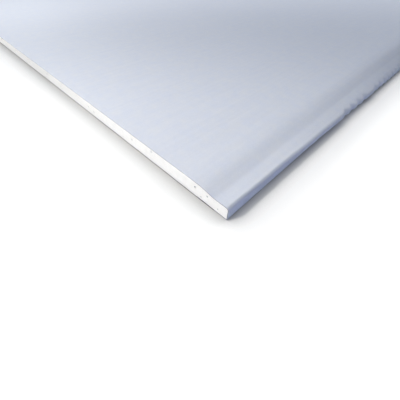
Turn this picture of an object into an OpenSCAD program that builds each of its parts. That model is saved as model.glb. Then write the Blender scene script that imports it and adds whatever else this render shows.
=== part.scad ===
// Tapered-edge drywall sheet lying face up: a gypsum core in a wrap of paper.
// X runs across the sheet, Y along it and Z up through its thickness.
// The origin is the middle of the back, on the surface that the sheet lies on.
// The face paper goes over the face, round both long edges and under the rims
// of the back paper. At the two sawn ends all three pieces are cut off square.

/* [Sheet] */
// Width between the two paper-wrapped long edges
sheet_width = 1200; // [600:1:1250]
// Length between the two sawn ends
sheet_length = 2400; // [600:1:3600]
// Thickness in the middle of the sheet
sheet_thickness = 15; // [12.5:0.1:25]

/* [Tapered long edges] */
// How far in from the long edge the face starts to drop
taper_width = 40; // [36:1:80]
// How much thinner the sheet is along its long edges
taper_depth = 2.5; // [0.6:0.1:3]
// Width of the level rim between the slope and the long edge
rim_width = 10; // [8:0.5:30]
// How far the steepest part of the slope leans to the long edge: 1 is midway
slope_lean = 1.7; // [1:0.05:2]
// Radius of the fold where the rim turns down into the long edge
face_fold_radius = 2.4; // [1:0.1:6]
// Radius of the fold where the long edge turns under to the back
back_fold_radius = 0.9; // [0.8:0.1:3]

/* [Paper] */
// Thickness of the face paper
face_paper_thickness = 0.5; // [0.3:0.05:0.7]
// Thickness of the back paper
back_paper_thickness = 0.5; // [0.3:0.05:0.7]
// How far the face paper reaches in under the sheet from the long edge
face_paper_lap = 30; // [22:1:60]
// How far the back paper stops short of the long edge
back_paper_margin = 12; // [4:1:20]

/* [Hidden] */
slope_steps = 12;
fold_steps = 8;

edge_x = sheet_width / 2;
rim_z = sheet_thickness - taper_depth;
lap_z = back_paper_thickness;
lap_end_x = edge_x - face_paper_lap;

// Points on an arc about a centre, from one angle to another
function arc_points(centre, radius, from_angle, to_angle) =
    [for (i = [0:fold_steps])
        let (angle = from_angle + (to_angle - from_angle) * i / fold_steps)
        centre + radius * [cos(angle), sin(angle)]];

// Points on a slope that leaves one level and reaches another without a kink
function slope_points(from, to) =
    [for (i = [0:slope_steps])
        let (run = i / slope_steps, fall = (1 - cos(180 * pow(run, slope_lean))) / 2)
        [from.x + (to.x - from.x) * run, from.y + (to.y - from.y) * fall]];

function reversed(path) = [for (i = [len(path) - 1:-1:0]) path[i]];

function mirrored(path) = [for (point = path) [-point.x, point.y]];

// Unit normal to the right of the way from one point to the next
function right_normal(from, to) =
    let (way = (to - from) / norm(to - from)) [way.y, -way.x];

// A path moved to its right by one thickness, with mitred corners
function inset_path(path, thickness) =
    let (last = len(path) - 1)
    [for (i = [0:last])
        let (
            before = right_normal(path[max(i, 1) - 1], path[max(i, 1)]),
            after = right_normal(path[min(i, last - 1)], path[min(i, last - 1) + 1])
        )
        path[i] + thickness * (before + after) / (1 + before * after)];

// Outside of the face paper on one half: slope, rim, long edge and lap
half_wrap = concat(
    slope_points([edge_x - taper_width, sheet_thickness], [edge_x - rim_width, rim_z]),
    arc_points([edge_x - face_fold_radius, rim_z - face_fold_radius], face_fold_radius, 90, 0),
    arc_points([edge_x - back_fold_radius, lap_z + back_fold_radius], back_fold_radius, 0, -90),
    [[lap_end_x, lap_z]]
);
wrap_outside = concat(reversed(mirrored(half_wrap)), half_wrap);
wrap_inside = inset_path(wrap_outside, face_paper_thickness);

// Runs a section, drawn in X and Z, along the whole length of the sheet
module along_sheet() {
    rotate([90, 0, 0])
        linear_extrude(height = sheet_length, center = true)
            children();
}

// Core that fills the wrap and reaches down to the back paper between the laps
module gypsum_core() {
    color([0.96, 0.95, 0.92])
        along_sheet()
            polygon(concat(wrap_inside, [[lap_end_x, lap_z], [-lap_end_x, lap_z]]));
}

// Paper over the face, both long edges and the laps on the back
module face_paper() {
    color([0.82, 0.83, 0.88])
        along_sheet()
            polygon(concat(wrap_outside, reversed(wrap_inside)));
}

// Flat paper under the core and over both laps
module back_paper() {
    back_width = sheet_width - 2 * back_paper_margin;
    color([0.62, 0.60, 0.58])
        along_sheet()
            translate([-back_width / 2, 0])
                square([back_width, back_paper_thickness]);
}

gypsum_core();
face_paper();
back_paper();
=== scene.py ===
# Drywall sheet lying face up on a white floor, seen from just above one of its corners.

import math
import random

import bmesh
import bpy
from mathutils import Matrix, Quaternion, Vector, kdtree, noise


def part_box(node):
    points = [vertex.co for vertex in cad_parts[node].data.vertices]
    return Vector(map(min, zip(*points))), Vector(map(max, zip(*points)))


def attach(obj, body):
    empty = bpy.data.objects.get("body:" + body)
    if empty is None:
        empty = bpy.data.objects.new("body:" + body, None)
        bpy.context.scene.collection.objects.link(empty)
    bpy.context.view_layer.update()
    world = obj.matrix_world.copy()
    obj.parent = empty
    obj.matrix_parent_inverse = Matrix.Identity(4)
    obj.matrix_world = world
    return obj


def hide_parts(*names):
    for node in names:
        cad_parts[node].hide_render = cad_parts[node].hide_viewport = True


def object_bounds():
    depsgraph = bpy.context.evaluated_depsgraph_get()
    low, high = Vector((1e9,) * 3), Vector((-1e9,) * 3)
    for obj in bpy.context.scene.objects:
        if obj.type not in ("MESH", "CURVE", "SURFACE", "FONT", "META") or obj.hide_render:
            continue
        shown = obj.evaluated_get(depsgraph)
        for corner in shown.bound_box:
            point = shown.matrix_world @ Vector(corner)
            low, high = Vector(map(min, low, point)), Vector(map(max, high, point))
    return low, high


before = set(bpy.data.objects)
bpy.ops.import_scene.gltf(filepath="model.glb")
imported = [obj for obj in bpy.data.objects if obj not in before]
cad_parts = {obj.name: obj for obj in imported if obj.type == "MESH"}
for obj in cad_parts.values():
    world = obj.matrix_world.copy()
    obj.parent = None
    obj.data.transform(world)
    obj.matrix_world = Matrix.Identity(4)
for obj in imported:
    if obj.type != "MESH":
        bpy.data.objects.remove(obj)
cad_low, cad_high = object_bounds()

MM = 0.001
SEED = 41
X_AXIS = 0
Y_AXIS = 1
Z_AXIS = 2

# The sheet as model.glb gives it
EDGE_X = cad_high.x
FRONT_Y = cad_low.y
BACK_Y = cad_high.y
FACE_Z = cad_high.z
CORNER = Vector((EDGE_X, FRONT_Y, 0))
MERGE_DISTANCE = 0.01 * MM
FLAT_ANGLE = math.radians(0.2)
SHARP_ANGLE = math.radians(35)
SAWN_FACE_NORMAL = 0.9

# One long edge is crushed: distance from the sawn end, how far the edge has swollen
# out there, how far its rim droops
CRUSHED_EDGE = (
    (0 * MM, 0.0 * MM, 0.0 * MM),
    (60 * MM, 0.7 * MM, 0.5 * MM),
    (120 * MM, 1.9 * MM, 1.4 * MM),
    (185 * MM, 3.0 * MM, 2.3 * MM),
    (235 * MM, 3.9 * MM, 2.9 * MM),
    (285 * MM, 4.2 * MM, 3.3 * MM),
    (330 * MM, 4.9 * MM, 4.0 * MM),
    (420 * MM, 6.0 * MM, 5.0 * MM),
    (560 * MM, 0.0 * MM, 0.0 * MM),
)
CRUSHED_LENGTH = CRUSHED_EDGE[-1][0]
CRUSHED_STATION_STEP = 8 * MM
DROOP_REACH = 17 * MM
DROOP_CURVE = 1.7
# Puckers in the paper of that edge, in two runs: distance of the first one from
# the sawn end, step to the next, how many, how deep each is pinched, how far it spreads
PUCKER_RUNS = (
    (187.5 * MM, 17.1 * MM, 4, 2.5 * MM, 4.4 * MM),
    (275 * MM, 16.0 * MM, 8, 2.4 * MM, 4.2 * MM),
)
PUCKER_JITTER = 0.5 * MM
PUCKER_DEPTH_SHARES = (0.85, 1.1)
PUCKER_ZONE = (168 * MM, 412 * MM)
PUCKER_SINK = 0.3
PUCKER_REACH = 5 * MM
PUCKER_STATION_STEP = 1.5 * MM
RIM_REACH = 12 * MM
RIM_CUT_STEP = 1.2 * MM
WALL_FOOT = 1 * MM
WALL_SHOULDER = 8 * MM
WALL_CUT_STEP = 1.2 * MM

# Sawn ends of the core
END_GRID_STEP = 1.5 * MM
END_RECESS = 0.05 * MM
END_ROUGHNESS = 0.16 * MM
END_ROUGHNESS_SIZE = 4 * MM
PIT_CUTS = 5
STREWN_PITS_PER_END = 70
STREWN_PIT_RADII = (0.35 * MM, 0.85 * MM)
PIT_SLENDERNESS = 3.0
PIT_MARGIN = 2.4 * MM
STREWN_INSET = 110 * MM
# Pits near the corner: distance in from the long edge, height above the back, radius
CORNER_PITS = (
    (83 * MM, 11.6 * MM, 0.75 * MM),
    (31.3 * MM, 9.2 * MM, 0.85 * MM),
    (25.3 * MM, 3.6 * MM, 0.5 * MM),
    (19.3 * MM, 9.0 * MM, 0.65 * MM),
    (9 * MM, 4.2 * MM, 0.45 * MM),
)

# Colours, in linear light
WHITE = (1, 1, 1, 1)
PAPER_BLUE = (0.625, 0.648, 0.725, 1)
PAPER_GREY = (0.660, 0.670, 0.715, 1)
# Cut edges of the papers: the plies' own grey, darkened further as painted shade for the shadow line along
# the foot of the sawn end
PLY_DARK = (0.13, 0.12, 0.12, 1)
PLY_LIGHT = (0.26, 0.25, 0.24, 1)
LINER_PLY_DARK = (0.055, 0.050, 0.048, 1)
LINER_PLY_LIGHT = (0.130, 0.120, 0.110, 1)
GYPSUM_WHITE = (0.950, 0.925, 0.850, 1)
GYPSUM_SHADE = (0.905, 0.878, 0.795, 1)
# Painted shade in the pores of the gypsum
GYPSUM_PORE_PAINTED_SHADE = (0.560, 0.540, 0.500, 1)
# Painted shade in the air pits: the gypsum inside them is given these darker greys
PIT_PAINTED_SHADE_GREY = (0.600, 0.590, 0.550, 1)
PIT_PAINTED_SHADE_DARK = (0.460, 0.450, 0.420, 1)
LINER_BROWN = (0.330, 0.292, 0.250, 1)
LINER_GREY = (0.400, 0.375, 0.345, 1)
LINER_FLECK = (0.130, 0.115, 0.100, 1)
FLOOR_WHITE = (0.45, 0.444, 0.435, 1)
FLOOR_BOUNCE = (0.42, 0.45, 0.62, 1)

# Spans of a pattern's values: all of them, most of a broad noise, most of a fine one
UNIT_SPAN = (0.0, 1.0)
NOISE_SPAN = (0.3, 0.7)
GRAIN_SPAN = (0.25, 0.75)

# Face paper: its patterns, how much lighter or darker they make it, its relief and gloss
PAPER_CLOUD_SIZE = 9 * MM
PAPER_FIBRE_SIZE = 0.8 * MM
PAPER_FIBRE_STRETCH = (1, 0.45, 1)
PAPER_FIBRE_TONES = (0.965, 1.035)
PAPER_STREAK_SIZE = 3 * MM
PAPER_STREAK_STRETCH = (1, 0.02, 1)
PAPER_STREAK_TONES = (-0.015, 0.015)
PAPER_RELIEF = 0.045 * MM
PAPER_ROUGHNESS_SPAN = (0.2, 0.8)
PAPER_ROUGHNESS = (0.70, 0.86)
PAPER_GLOSS = 0.35
# Stray fibres of the face paper, in two kinds: length, width, turn
PAPER_STRAY_FIBRES = (
    (3.0 * MM, 0.22 * MM, math.radians(35)),
    (3.5 * MM, 0.22 * MM, math.radians(-18)),
)
PAPER_STRAY_LEVEL = 0.70
PAPER_STRAY_TONE = 0.035
PAPER_STRAY_RELIEF = 0.5
STRAY_FIBRE_SOFTNESS = 0.05

# Cut edges of the papers
PLY_SIZE = 0.12 * MM
PLY_STRETCH = (0.1, 1, 1)
PLY_RELIEF = 0.05 * MM
PLY_ROUGHNESS = 0.9

# Gypsum: its grain, patches and pores
GYPSUM_GRAIN_SIZE = 0.5 * MM
GYPSUM_GRAIN_TONES = (0.96, 1.04)
GYPSUM_PATCH_SIZE = 5 * MM
GYPSUM_PATCH_SPAN = (0.3, 0.75)
GYPSUM_RELIEF = 0.12 * MM
GYPSUM_ROUGHNESS = 0.95
GYPSUM_GLOSS = 0.2
# Pores: hollows in relief, each painted darker as painted shade
PORE_SPACING = 1.1 * MM
PORE_RIM_SPAN = (0.10, 0.24)
PORE_PATCH_SPAN = (0.48, 0.62)
PORE_SHADE = 0.55
PORE_DEPTH = 1.5

# Back paper: its patterns, relief and gloss
LINER_CLOUD_SIZE = 14 * MM
LINER_CLOUD_STRETCH = (1, 0.5, 1)
LINER_FIBRE_SIZE = 1.1 * MM
LINER_FIBRE_STRETCH = (1, 0.4, 1)
LINER_FIBRE_TONES = (0.92, 1.08)
LINER_RELIEF = 0.08 * MM
LINER_ROUGHNESS = 0.88
LINER_GLOSS = 0.3
# Stray fibres of the back paper, in two kinds: length, width, turn
LINER_STRAY_FIBRES = (
    (4.0 * MM, 0.4 * MM, math.radians(50)),
    (3.0 * MM, 0.35 * MM, math.radians(-30)),
)
LINER_STRAY_LEVEL = 0.71
LINER_STRAY_SHADE = 0.5

# Camera, measured from the near corner of the sheet
CAMERA_OFFSET = Vector((45.0, -71.7, 122.4)) * MM
CAMERA_AIM_OFFSET = Vector((-17.15, -9.05, 15.0)) * MM
CAMERA_ROLL = math.radians(0.76)
FOCAL_PIXELS = 215
FRAME_PIXELS = 400
SENSOR_WIDTH = 36
CLIP_START = 10 * MM

# Light
SKY_COLOUR = (0.63, 0.75, 1.0, 1)
SKY_STRENGTH = 0.22
WARM_LIGHT = (1.0, 0.986, 0.942)
COOL_LIGHT = (0.90, 0.955, 1.0)
BLUE_LIGHT = (0.72, 0.82, 1.0)
# Lamps: name, place and aim in millimetres from the near corner of the sheet, width in
# metres, power in watts, spread in degrees, colour
LAMPS = (
    ("front_lamp", (-700, -1250, 1200), (-100, -130, 0), 0.4, 0.9, 24, WARM_LIGHT),
    ("side_lamp", (-6000, 900, 2000), (-500, 1250, 15), 1.4, 23, 36, COOL_LIGHT),
    ("back_lamp", (-600, 4400, 2600), (-600, 2000, 15), 1.0, 3.2, 36, WARM_LIGHT),
    ("end_lamp", (-640, -2400, 1500), (-640, 120, 10), 0.3, 0.85, 20, WARM_LIGHT),
    ("edge_lamp", (3000, 600, 400), (-70, -20, 15), 1.0, 19, 180, BLUE_LIGHT),
)

# Floor: its own light, which fades close to the sheet
FLOOR_GLOW = 0.75
FLOOR_SHADE_REACH = 60 * MM
FLOOR_SHADE_POWER = 3.0
FLOOR_SIZE = 60.0


# Node helpers

def new_material(name):
    """A material, its node tree and its main shader."""
    material = bpy.data.materials.new(name)
    material.use_nodes = True
    return material, material.node_tree, material.node_tree.nodes["Principled BSDF"]


def object_coordinates(tree, stretch=(1, 1, 1), turn=0.0):
    """Object coordinates, squeezed by stretch along each axis and turned about Z."""
    source = tree.nodes.new("ShaderNodeTexCoord")
    mapping = tree.nodes.new("ShaderNodeMapping")
    mapping.inputs["Scale"].default_value = stretch
    mapping.inputs["Rotation"].default_value = (0, 0, turn)
    tree.links.new(source.outputs["Object"], mapping.inputs["Vector"])
    return mapping.outputs["Vector"]


def noise_pattern(tree, size, coordinates, detail=3.0, roughness=0.55):
    """Cloudy noise between 0 and 1 whose features are about size across."""
    pattern = tree.nodes.new("ShaderNodeTexNoise")
    pattern.inputs["Scale"].default_value = 1 / size
    pattern.inputs["Detail"].default_value = detail
    pattern.inputs["Roughness"].default_value = roughness
    tree.links.new(coordinates, pattern.inputs["Vector"])
    return pattern.outputs["Fac"]


def remapped(tree, value, from_range, to_range):
    """Value taken from one range to another, and held at its ends."""
    node = tree.nodes.new("ShaderNodeMapRange")
    node.inputs["From Min"].default_value = from_range[0]
    node.inputs["From Max"].default_value = from_range[1]
    node.inputs["To Min"].default_value = to_range[0]
    node.inputs["To Max"].default_value = to_range[1]
    tree.links.new(value, node.inputs["Value"])
    return node.outputs["Result"]


def combined(tree, operation, first, second):
    """Two values joined by one sum, either of them a number or a socket."""
    node = tree.nodes.new("ShaderNodeMath")
    node.operation = operation
    for socket, value in zip(node.inputs, (first, second)):
        if isinstance(value, (int, float)):
            socket.default_value = value
        else:
            tree.links.new(value, socket)
    return node.outputs["Value"]


def mixed_colours(tree, factor, first, second):
    """One colour laid over another by a factor, each a tuple or a socket."""
    node = tree.nodes.new("ShaderNodeMix")
    node.data_type = "RGBA"
    for socket, value in ((node.inputs[0], factor), (node.inputs[6], first), (node.inputs[7], second)):
        if isinstance(value, bpy.types.NodeSocket):
            tree.links.new(value, socket)
        else:
            socket.default_value = value
    return node.outputs[2]


def shaded(tree, colour, tone):
    """A colour made lighter or darker by a tone about 1."""
    node = tree.nodes.new("ShaderNodeHueSaturation")
    tree.links.new(colour, node.inputs["Color"])
    tree.links.new(tone, node.inputs["Value"])
    return node.outputs["Color"]


def bump(tree, height, depth):
    """Normals for a relief whose full height is depth."""
    node = tree.nodes.new("ShaderNodeBump")
    node.inputs["Strength"].default_value = 1.0
    node.inputs["Distance"].default_value = depth
    tree.links.new(height, node.inputs["Height"])
    return node.outputs["Normal"]


def seen_directly(tree):
    """1 where the camera sees a surface, also in a mirror or through glass, and 0 elsewhere."""
    path = tree.nodes.new("ShaderNodeLightPath")
    seen = combined(tree, "MAXIMUM", path.outputs["Is Camera Ray"], path.outputs["Is Glossy Ray"])
    return combined(tree, "MAXIMUM", seen, path.outputs["Is Transmission Ray"])


def stray_fibres(tree, level, length, width, turn):
    """Short fibres lying one way, where a noise is above a level: 1 on a fibre and 0 elsewhere."""
    coordinates = object_coordinates(tree, (1, width / length, 1), turn)
    pattern = noise_pattern(tree, width, coordinates, detail=1.0)
    return remapped(tree, pattern, (level, level + STRAY_FIBRE_SOFTNESS), UNIT_SPAN)


# Materials

def face_paper_material():
    """Smooth lining paper: cloudy tint, long machine streaks, fine fibres."""
    material, tree, shader = new_material("face_paper")
    clouds = noise_pattern(tree, PAPER_CLOUD_SIZE, object_coordinates(tree), detail=4.0)
    lengthwise = object_coordinates(tree, PAPER_FIBRE_STRETCH)
    fibres = noise_pattern(tree, PAPER_FIBRE_SIZE, lengthwise, detail=4.0, roughness=0.65)
    machine_way = object_coordinates(tree, PAPER_STREAK_STRETCH)
    streaks = noise_pattern(tree, PAPER_STREAK_SIZE, machine_way, detail=2.0)
    across, along = (stray_fibres(tree, PAPER_STRAY_LEVEL, *kind) for kind in PAPER_STRAY_FIBRES)
    stray = combined(tree, "MAXIMUM", across, along)
    tint = mixed_colours(tree, remapped(tree, clouds, NOISE_SPAN, UNIT_SPAN), PAPER_BLUE, PAPER_GREY)
    tone = combined(tree, "ADD", remapped(tree, fibres, GRAIN_SPAN, PAPER_FIBRE_TONES),
                    remapped(tree, streaks, NOISE_SPAN, PAPER_STREAK_TONES))
    tone = combined(tree, "SUBTRACT", tone, combined(tree, "MULTIPLY", stray, PAPER_STRAY_TONE))
    tree.links.new(shaded(tree, tint, tone), shader.inputs["Base Color"])
    roughness = remapped(tree, fibres, PAPER_ROUGHNESS_SPAN, PAPER_ROUGHNESS)
    tree.links.new(roughness, shader.inputs["Roughness"])
    relief = combined(tree, "ADD", fibres, combined(tree, "MULTIPLY", stray, PAPER_STRAY_RELIEF))
    tree.links.new(bump(tree, relief, PAPER_RELIEF), shader.inputs["Normal"])
    shader.inputs["Specular IOR Level"].default_value = PAPER_GLOSS
    return material


def cut_paper_material(name, dark, light):
    """Cut edge of a paper: thin plies pressed together, in colours darker than the plies' own, part
    painted shade.
    """
    material, tree, shader = new_material(name)
    plies = noise_pattern(tree, PLY_SIZE, object_coordinates(tree, PLY_STRETCH), detail=2.0)
    tint = mixed_colours(tree, remapped(tree, plies, NOISE_SPAN, UNIT_SPAN), dark, light)
    tree.links.new(tint, shader.inputs["Base Color"])
    tree.links.new(bump(tree, plies, PLY_RELIEF), shader.inputs["Normal"])
    shader.inputs["Roughness"].default_value = PLY_ROUGHNESS
    return material


def gypsum_material(name, light, dark):
    """Set gypsum: chalky, grainy, full of fine pores, with painted shade in the pores."""
    material, tree, shader = new_material(name)
    plain = object_coordinates(tree)
    grain = noise_pattern(tree, GYPSUM_GRAIN_SIZE, plain, detail=5.0, roughness=0.7)
    patches = noise_pattern(tree, GYPSUM_PATCH_SIZE, plain)
    cells = tree.nodes.new("ShaderNodeTexVoronoi")
    cells.inputs["Scale"].default_value = 1 / PORE_SPACING
    tree.links.new(plain, cells.inputs["Vector"])
    pores = remapped(tree, cells.outputs["Distance"], PORE_RIM_SPAN, (1.0, 0.0))
    pores = combined(tree, "MULTIPLY", pores, remapped(tree, patches, PORE_PATCH_SPAN, UNIT_SPAN))
    tint = mixed_colours(tree, remapped(tree, patches, GYPSUM_PATCH_SPAN, UNIT_SPAN), light, dark)
    # Pores painted darker: painted shade in their hollows
    tint = mixed_colours(tree, combined(tree, "MULTIPLY", pores, PORE_SHADE), tint, GYPSUM_PORE_PAINTED_SHADE)
    tone = remapped(tree, grain, GRAIN_SPAN, GYPSUM_GRAIN_TONES)
    tree.links.new(shaded(tree, tint, tone), shader.inputs["Base Color"])
    relief = combined(tree, "SUBTRACT", grain, combined(tree, "MULTIPLY", pores, PORE_DEPTH))
    tree.links.new(bump(tree, relief, GYPSUM_RELIEF), shader.inputs["Normal"])
    shader.inputs["Roughness"].default_value = GYPSUM_ROUGHNESS
    shader.inputs["Specular IOR Level"].default_value = GYPSUM_GLOSS
    return material


def back_paper_material():
    """Recycled liner: grey-brown, coarser than the face and flecked."""
    material, tree, shader = new_material("back_paper")
    cloud_way = object_coordinates(tree, LINER_CLOUD_STRETCH)
    clouds = noise_pattern(tree, LINER_CLOUD_SIZE, cloud_way, detail=4.0)
    lengthwise = object_coordinates(tree, LINER_FIBRE_STRETCH)
    fibres = noise_pattern(tree, LINER_FIBRE_SIZE, lengthwise, detail=4.0, roughness=0.7)
    across, along = (stray_fibres(tree, LINER_STRAY_LEVEL, *kind) for kind in LINER_STRAY_FIBRES)
    stray = combined(tree, "MAXIMUM", across, along)
    tint = mixed_colours(tree, remapped(tree, clouds, NOISE_SPAN, UNIT_SPAN), LINER_BROWN, LINER_GREY)
    tint = mixed_colours(tree, combined(tree, "MULTIPLY", stray, LINER_STRAY_SHADE), tint, LINER_FLECK)
    tone = remapped(tree, fibres, GRAIN_SPAN, LINER_FIBRE_TONES)
    tree.links.new(shaded(tree, tint, tone), shader.inputs["Base Color"])
    tree.links.new(bump(tree, fibres, LINER_RELIEF), shader.inputs["Normal"])
    shader.inputs["Roughness"].default_value = LINER_ROUGHNESS
    shader.inputs["Specular IOR Level"].default_value = LINER_GLOSS
    return material


def floor_material():
    """Matt floor that shows white to the camera and takes a shadow, darkest close to the sheet."""
    material, tree, shader = new_material("floor")
    shader.inputs["Roughness"].default_value = 1.0
    shader.inputs["Specular IOR Level"].default_value = 0.0
    seen = seen_directly(tree)
    tree.links.new(mixed_colours(tree, seen, FLOOR_BOUNCE, FLOOR_WHITE), shader.inputs["Base Color"])
    shader.inputs["Emission Color"].default_value = WHITE
    openness = tree.nodes.new("ShaderNodeAmbientOcclusion")
    openness.inputs["Distance"].default_value = FLOOR_SHADE_REACH
    shade = combined(tree, "POWER", openness.outputs["AO"], FLOOR_SHADE_POWER)
    glow = combined(tree, "MULTIPLY", shade, FLOOR_GLOW)
    tree.links.new(combined(tree, "MULTIPLY", seen, glow), shader.inputs["Emission Strength"])
    return material


# Shapes

def copied_solid(node_name):
    """A bmesh of a node's solid, with its triangles joined into flat faces."""
    shape = bmesh.new()
    shape.from_mesh(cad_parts[node_name].data)
    bmesh.ops.remove_doubles(shape, verts=shape.verts, dist=MERGE_DISTANCE)
    bmesh.ops.dissolve_limit(shape, angle_limit=FLAT_ANGLE, verts=shape.verts, edges=shape.edges)
    shape.normal_update()
    return shape


def cut_by_planes(shape, faces, axis, places):
    """Cuts faces, without parting them, by planes square to an axis, in rising order."""
    normal = Vector((0, 0, 0))
    normal[axis] = 1
    for place in places:
        edges = dict.fromkeys(edge for face in faces for edge in face.edges)
        verts = dict.fromkeys(vert for face in faces for vert in face.verts)
        cut = bmesh.ops.bisect_plane(shape, geom=[*verts, *edges, *faces], dist=MERGE_DISTANCE,
                                     plane_co=normal * place, plane_no=normal)
        pieces = (item for item in cut["geom"] if isinstance(item, bmesh.types.BMFace))
        faces = [face for face in pieces if face.calc_center_median()[axis] > place]


def places_between(start, stop, step):
    """Evenly spaced places inside a stretch, about one step apart."""
    count = round((stop - start) / step)
    return [start + (stop - start) * i / count for i in range(1, count)]


def eased(value):
    """Rises smoothly from 0 to 1 as value does, and stays there."""
    held = max(0.0, min(1.0, value))
    return held * held * (3 - 2 * held)


def swell_and_droop(along):
    """How far the crushed edge stands out and hangs down at a distance from the sawn end."""
    for (start, out, down), (stop, next_out, next_down) in zip(CRUSHED_EDGE, CRUSHED_EDGE[1:]):
        if start <= along <= stop:
            share = eased((along - start) / (stop - start))
            return out + (next_out - out) * share, down + (next_down - down) * share
    return 0.0, 0.0


def cut_for_crushing(shape):
    """Gives the crushed stretch of the long edge enough faces to bend, most of them at its puckers."""
    low, high = PUCKER_ZONE
    stations = [
        *places_between(0, low, CRUSHED_STATION_STEP),
        *places_between(low, high, PUCKER_STATION_STEP),
        *places_between(high, CRUSHED_LENGTH, CRUSHED_STATION_STEP),
    ]
    rim_cuts = places_between(EDGE_X - DROOP_REACH, EDGE_X, RIM_CUT_STEP)
    wall_cuts = places_between(WALL_FOOT, WALL_SHOULDER + WALL_FOOT, WALL_CUT_STEP)
    cut_by_planes(shape, shape.faces[:], X_AXIS, rim_cuts)
    cut_by_planes(shape, shape.faces[:], Z_AXIS, wall_cuts)
    cut_by_planes(shape, shape.faces[:], Y_AXIS, [FRONT_Y + station for station in stations])


def pucker_dents():
    """Place, depth and spread of each pucker, a little uneven."""
    draw = random.Random(SEED)
    dents = []
    for first, step, count, depth, spread in PUCKER_RUNS:
        for i in range(count):
            place = first + i * step + draw.uniform(-PUCKER_JITTER, PUCKER_JITTER)
            dents.append((place, depth * draw.uniform(*PUCKER_DEPTH_SHARES), spread))
    return dents


def crush_long_edge(shape):
    """Swells the long edge out, lets its rim droop, and pinches its fold in and down at each pucker."""
    dents = pucker_dents()
    for vert in shape.verts:
        along = max(0.0, vert.co.y - FRONT_Y)
        inset = EDGE_X - vert.co.x
        if inset > DROOP_REACH or along > CRUSHED_LENGTH:
            continue
        free = eased((vert.co.z - WALL_FOOT) / (WALL_SHOULDER - WALL_FOOT))
        outward, droop = swell_and_droop(along)
        outward *= free * max(0.0, 1 - inset / RIM_REACH)
        droop *= free * (1 - inset / DROOP_REACH) ** DROOP_CURVE
        reached = free * eased(1 - inset / PUCKER_REACH)
        pinch = sum(depth * math.exp(-((along - place) / spread) ** 2) for place, depth, spread in dents)
        vert.co.x += outward - reached * pinch
        vert.co.z -= droop + reached * pinch * PUCKER_SINK


def sawn_faces(shape):
    """Faces of the two sawn ends."""
    return [face for face in shape.faces if abs(face.normal.y) > SAWN_FACE_NORMAL]


def mark_cut_ends(shape):
    """Gives the sawn ends of a paper its second material."""
    for face in sawn_faces(shape):
        face.material_index = 1


def finder_of(points):
    """A lookup of the points within a reach of a place."""
    finder = kdtree.KDTree(len(points))
    for index, point in enumerate(points):
        finder.insert(point, index)
    finder.balance()
    return finder


def pit_places():
    """Where the pits are: those near the corner, and others strewn along both ends."""
    draw = random.Random(SEED)
    places = [(Vector((EDGE_X - inset, FRONT_Y, height)), radius) for inset, height, radius in CORNER_PITS]
    for end in (FRONT_Y, BACK_Y):
        for _ in range(STREWN_PITS_PER_END):
            x = draw.uniform(STREWN_INSET - EDGE_X, EDGE_X - STREWN_INSET)
            z = draw.uniform(PIT_MARGIN, FACE_Z - PIT_MARGIN)
            places.append((Vector((x, end, z)), draw.uniform(*STREWN_PIT_RADII)))
    return places


def pit_sawn_ends(shape):
    """Sets the sawn core a hair back from its paper, unevenly, sinks round air pits into it, and gives the
    faces in the pits a darker material: painted shade.
    """
    pits = pit_places()
    ends = sawn_faces(shape)
    finder = finder_of([face.calc_center_median() for face in ends])
    edges = {}
    for centre, radius in pits:
        for _, index, _ in finder.find_range(centre, radius + END_GRID_STEP):
            edges.update(dict.fromkeys(ends[index].edges))
    bmesh.ops.subdivide_edges(shape, edges=list(edges), cuts=PIT_CUTS, use_grid_fill=True)
    end_verts = [vert for vert in shape.verts if abs(abs(vert.co.y) - BACK_Y) < MERGE_DISTANCE]
    finder = finder_of([vert.co for vert in end_verts])
    sinks = {}
    for centre, radius in pits:
        for _, index, distance in finder.find_range(centre, radius):
            sinks[index] = radius * PIT_SLENDERNESS * math.sqrt(1 - (distance / radius) ** 2)
    for index, vert in enumerate(end_verts):
        unevenness = (noise.noise(vert.co / END_ROUGHNESS_SIZE) + 1) / 2
        into_core = END_RECESS + END_ROUGHNESS * unevenness + sinks.get(index, 0.0)
        vert.co.y -= math.copysign(into_core, vert.co.y)
    # The faces in the pits take the darker gypsum, painted shade
    for index in sinks:
        for face in end_verts[index].link_faces:
            face.material_index = 1


def finished_piece(name, shape, materials):
    """Turns a shape into a piece of the sheet with smooth folds and sharp cuts."""
    mesh = bpy.data.meshes.new(name)
    shape.to_mesh(mesh)
    shape.free()
    mesh.shade_smooth()
    mesh.set_sharp_from_angle(angle=SHARP_ANGLE)
    for material in materials:
        mesh.materials.append(material)
    piece = bpy.data.objects.new(name, mesh)
    bpy.context.scene.collection.objects.link(piece)
    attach(piece, "root")
    return piece


# Pieces

def wrapped_face_paper():
    """Face paper folded round both long edges, puckered along one of them."""
    shape = copied_solid("face_paper")
    mark_cut_ends(shape)
    cut_for_crushing(shape)
    crush_long_edge(shape)
    # Ply colours include painted shade
    plies = cut_paper_material("face_paper_plies_painted_shade", PLY_DARK, PLY_LIGHT)
    piece = finished_piece("face_paper_wrap", shape, (face_paper_material(), plies))
    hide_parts("face_paper")


def sawn_core():
    """Gypsum core with rough, pitted ends, pinched where its paper is."""
    shape = copied_solid("gypsum_core")
    low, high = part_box("gypsum_core")
    cut_for_crushing(shape)
    cut_by_planes(shape, sawn_faces(shape), X_AXIS, places_between(low.x, high.x, END_GRID_STEP))
    cut_by_planes(shape, sawn_faces(shape), Z_AXIS, places_between(low.z, high.z, END_GRID_STEP))
    pit_sawn_ends(shape)
    crush_long_edge(shape)
    gypsum = gypsum_material("gypsum", GYPSUM_WHITE, GYPSUM_SHADE)
    # Darker gypsum for the pits: painted shade
    painted_pit_shade = gypsum_material("gypsum_pit_painted_shade", PIT_PAINTED_SHADE_GREY, PIT_PAINTED_SHADE_DARK)
    piece = finished_piece("gypsum_core_block", shape, (gypsum, painted_pit_shade))
    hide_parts("gypsum_core")


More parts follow.
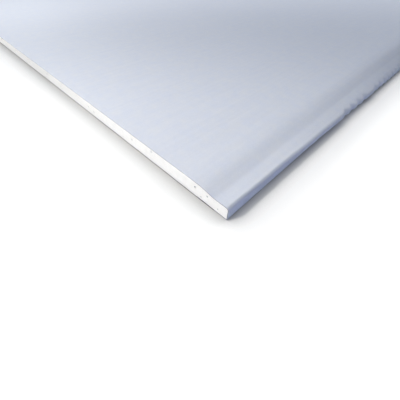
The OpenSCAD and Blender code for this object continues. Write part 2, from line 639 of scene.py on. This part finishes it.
def back_liner():
    """Back paper, flat between the laps of the face paper, with cut ends darkened by painted shade."""
    shape = copied_solid("back_paper")
    mark_cut_ends(shape)
    # Ply colours include painted shade
    plies = cut_paper_material("back_paper_plies_painted_shade", LINER_PLY_DARK, LINER_PLY_LIGHT)
    piece = finished_piece("back_paper_liner", shape, (back_paper_material(), plies))
    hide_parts("back_paper")


# Stage

def white_floor():
    """Wide level floor that the sheet lies on."""
    shape = bmesh.new()
    bmesh.ops.create_grid(shape, x_segments=1, y_segments=1, size=FLOOR_SIZE / 2)
    mesh = bpy.data.meshes.new("floor")
    shape.to_mesh(mesh)
    shape.free()
    mesh.materials.append(floor_material())
    floor = bpy.data.objects.new("floor", mesh)
    bpy.context.scene.collection.objects.link(floor)


def soft_lamp(name, place, aim, width, power, spread, colour):
    """Round lamp that the camera doesn't see, placed and aimed from the near corner of the sheet."""
    data = bpy.data.lights.new(name, "AREA")
    data.shape = "DISK"
    data.size = width
    data.energy = power
    data.spread = math.radians(spread)
    data.color = colour
    lamp = bpy.data.objects.new(name, data)
    lamp.location = CORNER + Vector(place) * MM
    lamp.rotation_mode = "QUATERNION"
    lamp.rotation_quaternion = (Vector(aim) - Vector(place)).to_track_quat("-Z", "Y")
    lamp.visible_camera = False
    bpy.context.scene.collection.objects.link(lamp)


def sky():
    """Pale sky light, seen as plain white by the camera."""
    world = bpy.data.worlds.new("sky")
    world.use_nodes = True
    tree = world.node_tree
    background = tree.nodes["Background"]
    seen = seen_directly(tree)
    tree.links.new(mixed_colours(tree, seen, SKY_COLOUR, WHITE), background.inputs["Color"])
    strength = remapped(tree, seen, UNIT_SPAN, (SKY_STRENGTH, 1.0))
    tree.links.new(strength, background.inputs["Strength"])
    bpy.context.scene.world = world


def corner_camera():
    """Camera above the near corner, looking down across the sheet."""
    data = bpy.data.cameras.new("camera")
    data.sensor_width = SENSOR_WIDTH
    data.lens = FOCAL_PIXELS / FRAME_PIXELS * SENSOR_WIDTH
    data.clip_start = CLIP_START
    camera = bpy.data.objects.new("camera", data)
    forward = CAMERA_AIM_OFFSET - CAMERA_OFFSET
    camera.location = CORNER + CAMERA_OFFSET
    camera.rotation_mode = "QUATERNION"
    upright = forward.to_track_quat("-Z", "Y")
    camera.rotation_quaternion = upright @ Quaternion((0, 0, 1), CAMERA_ROLL)
    bpy.context.scene.collection.objects.link(camera)
    bpy.context.scene.camera = camera


corner_camera()
wrapped_face_paper()
sawn_core()
back_liner()
white_floor()
sky()
for lamp_values in LAMPS:
    soft_lamp(*lamp_values)
bpy.context.scene.view_settings.view_transform = "Standard"
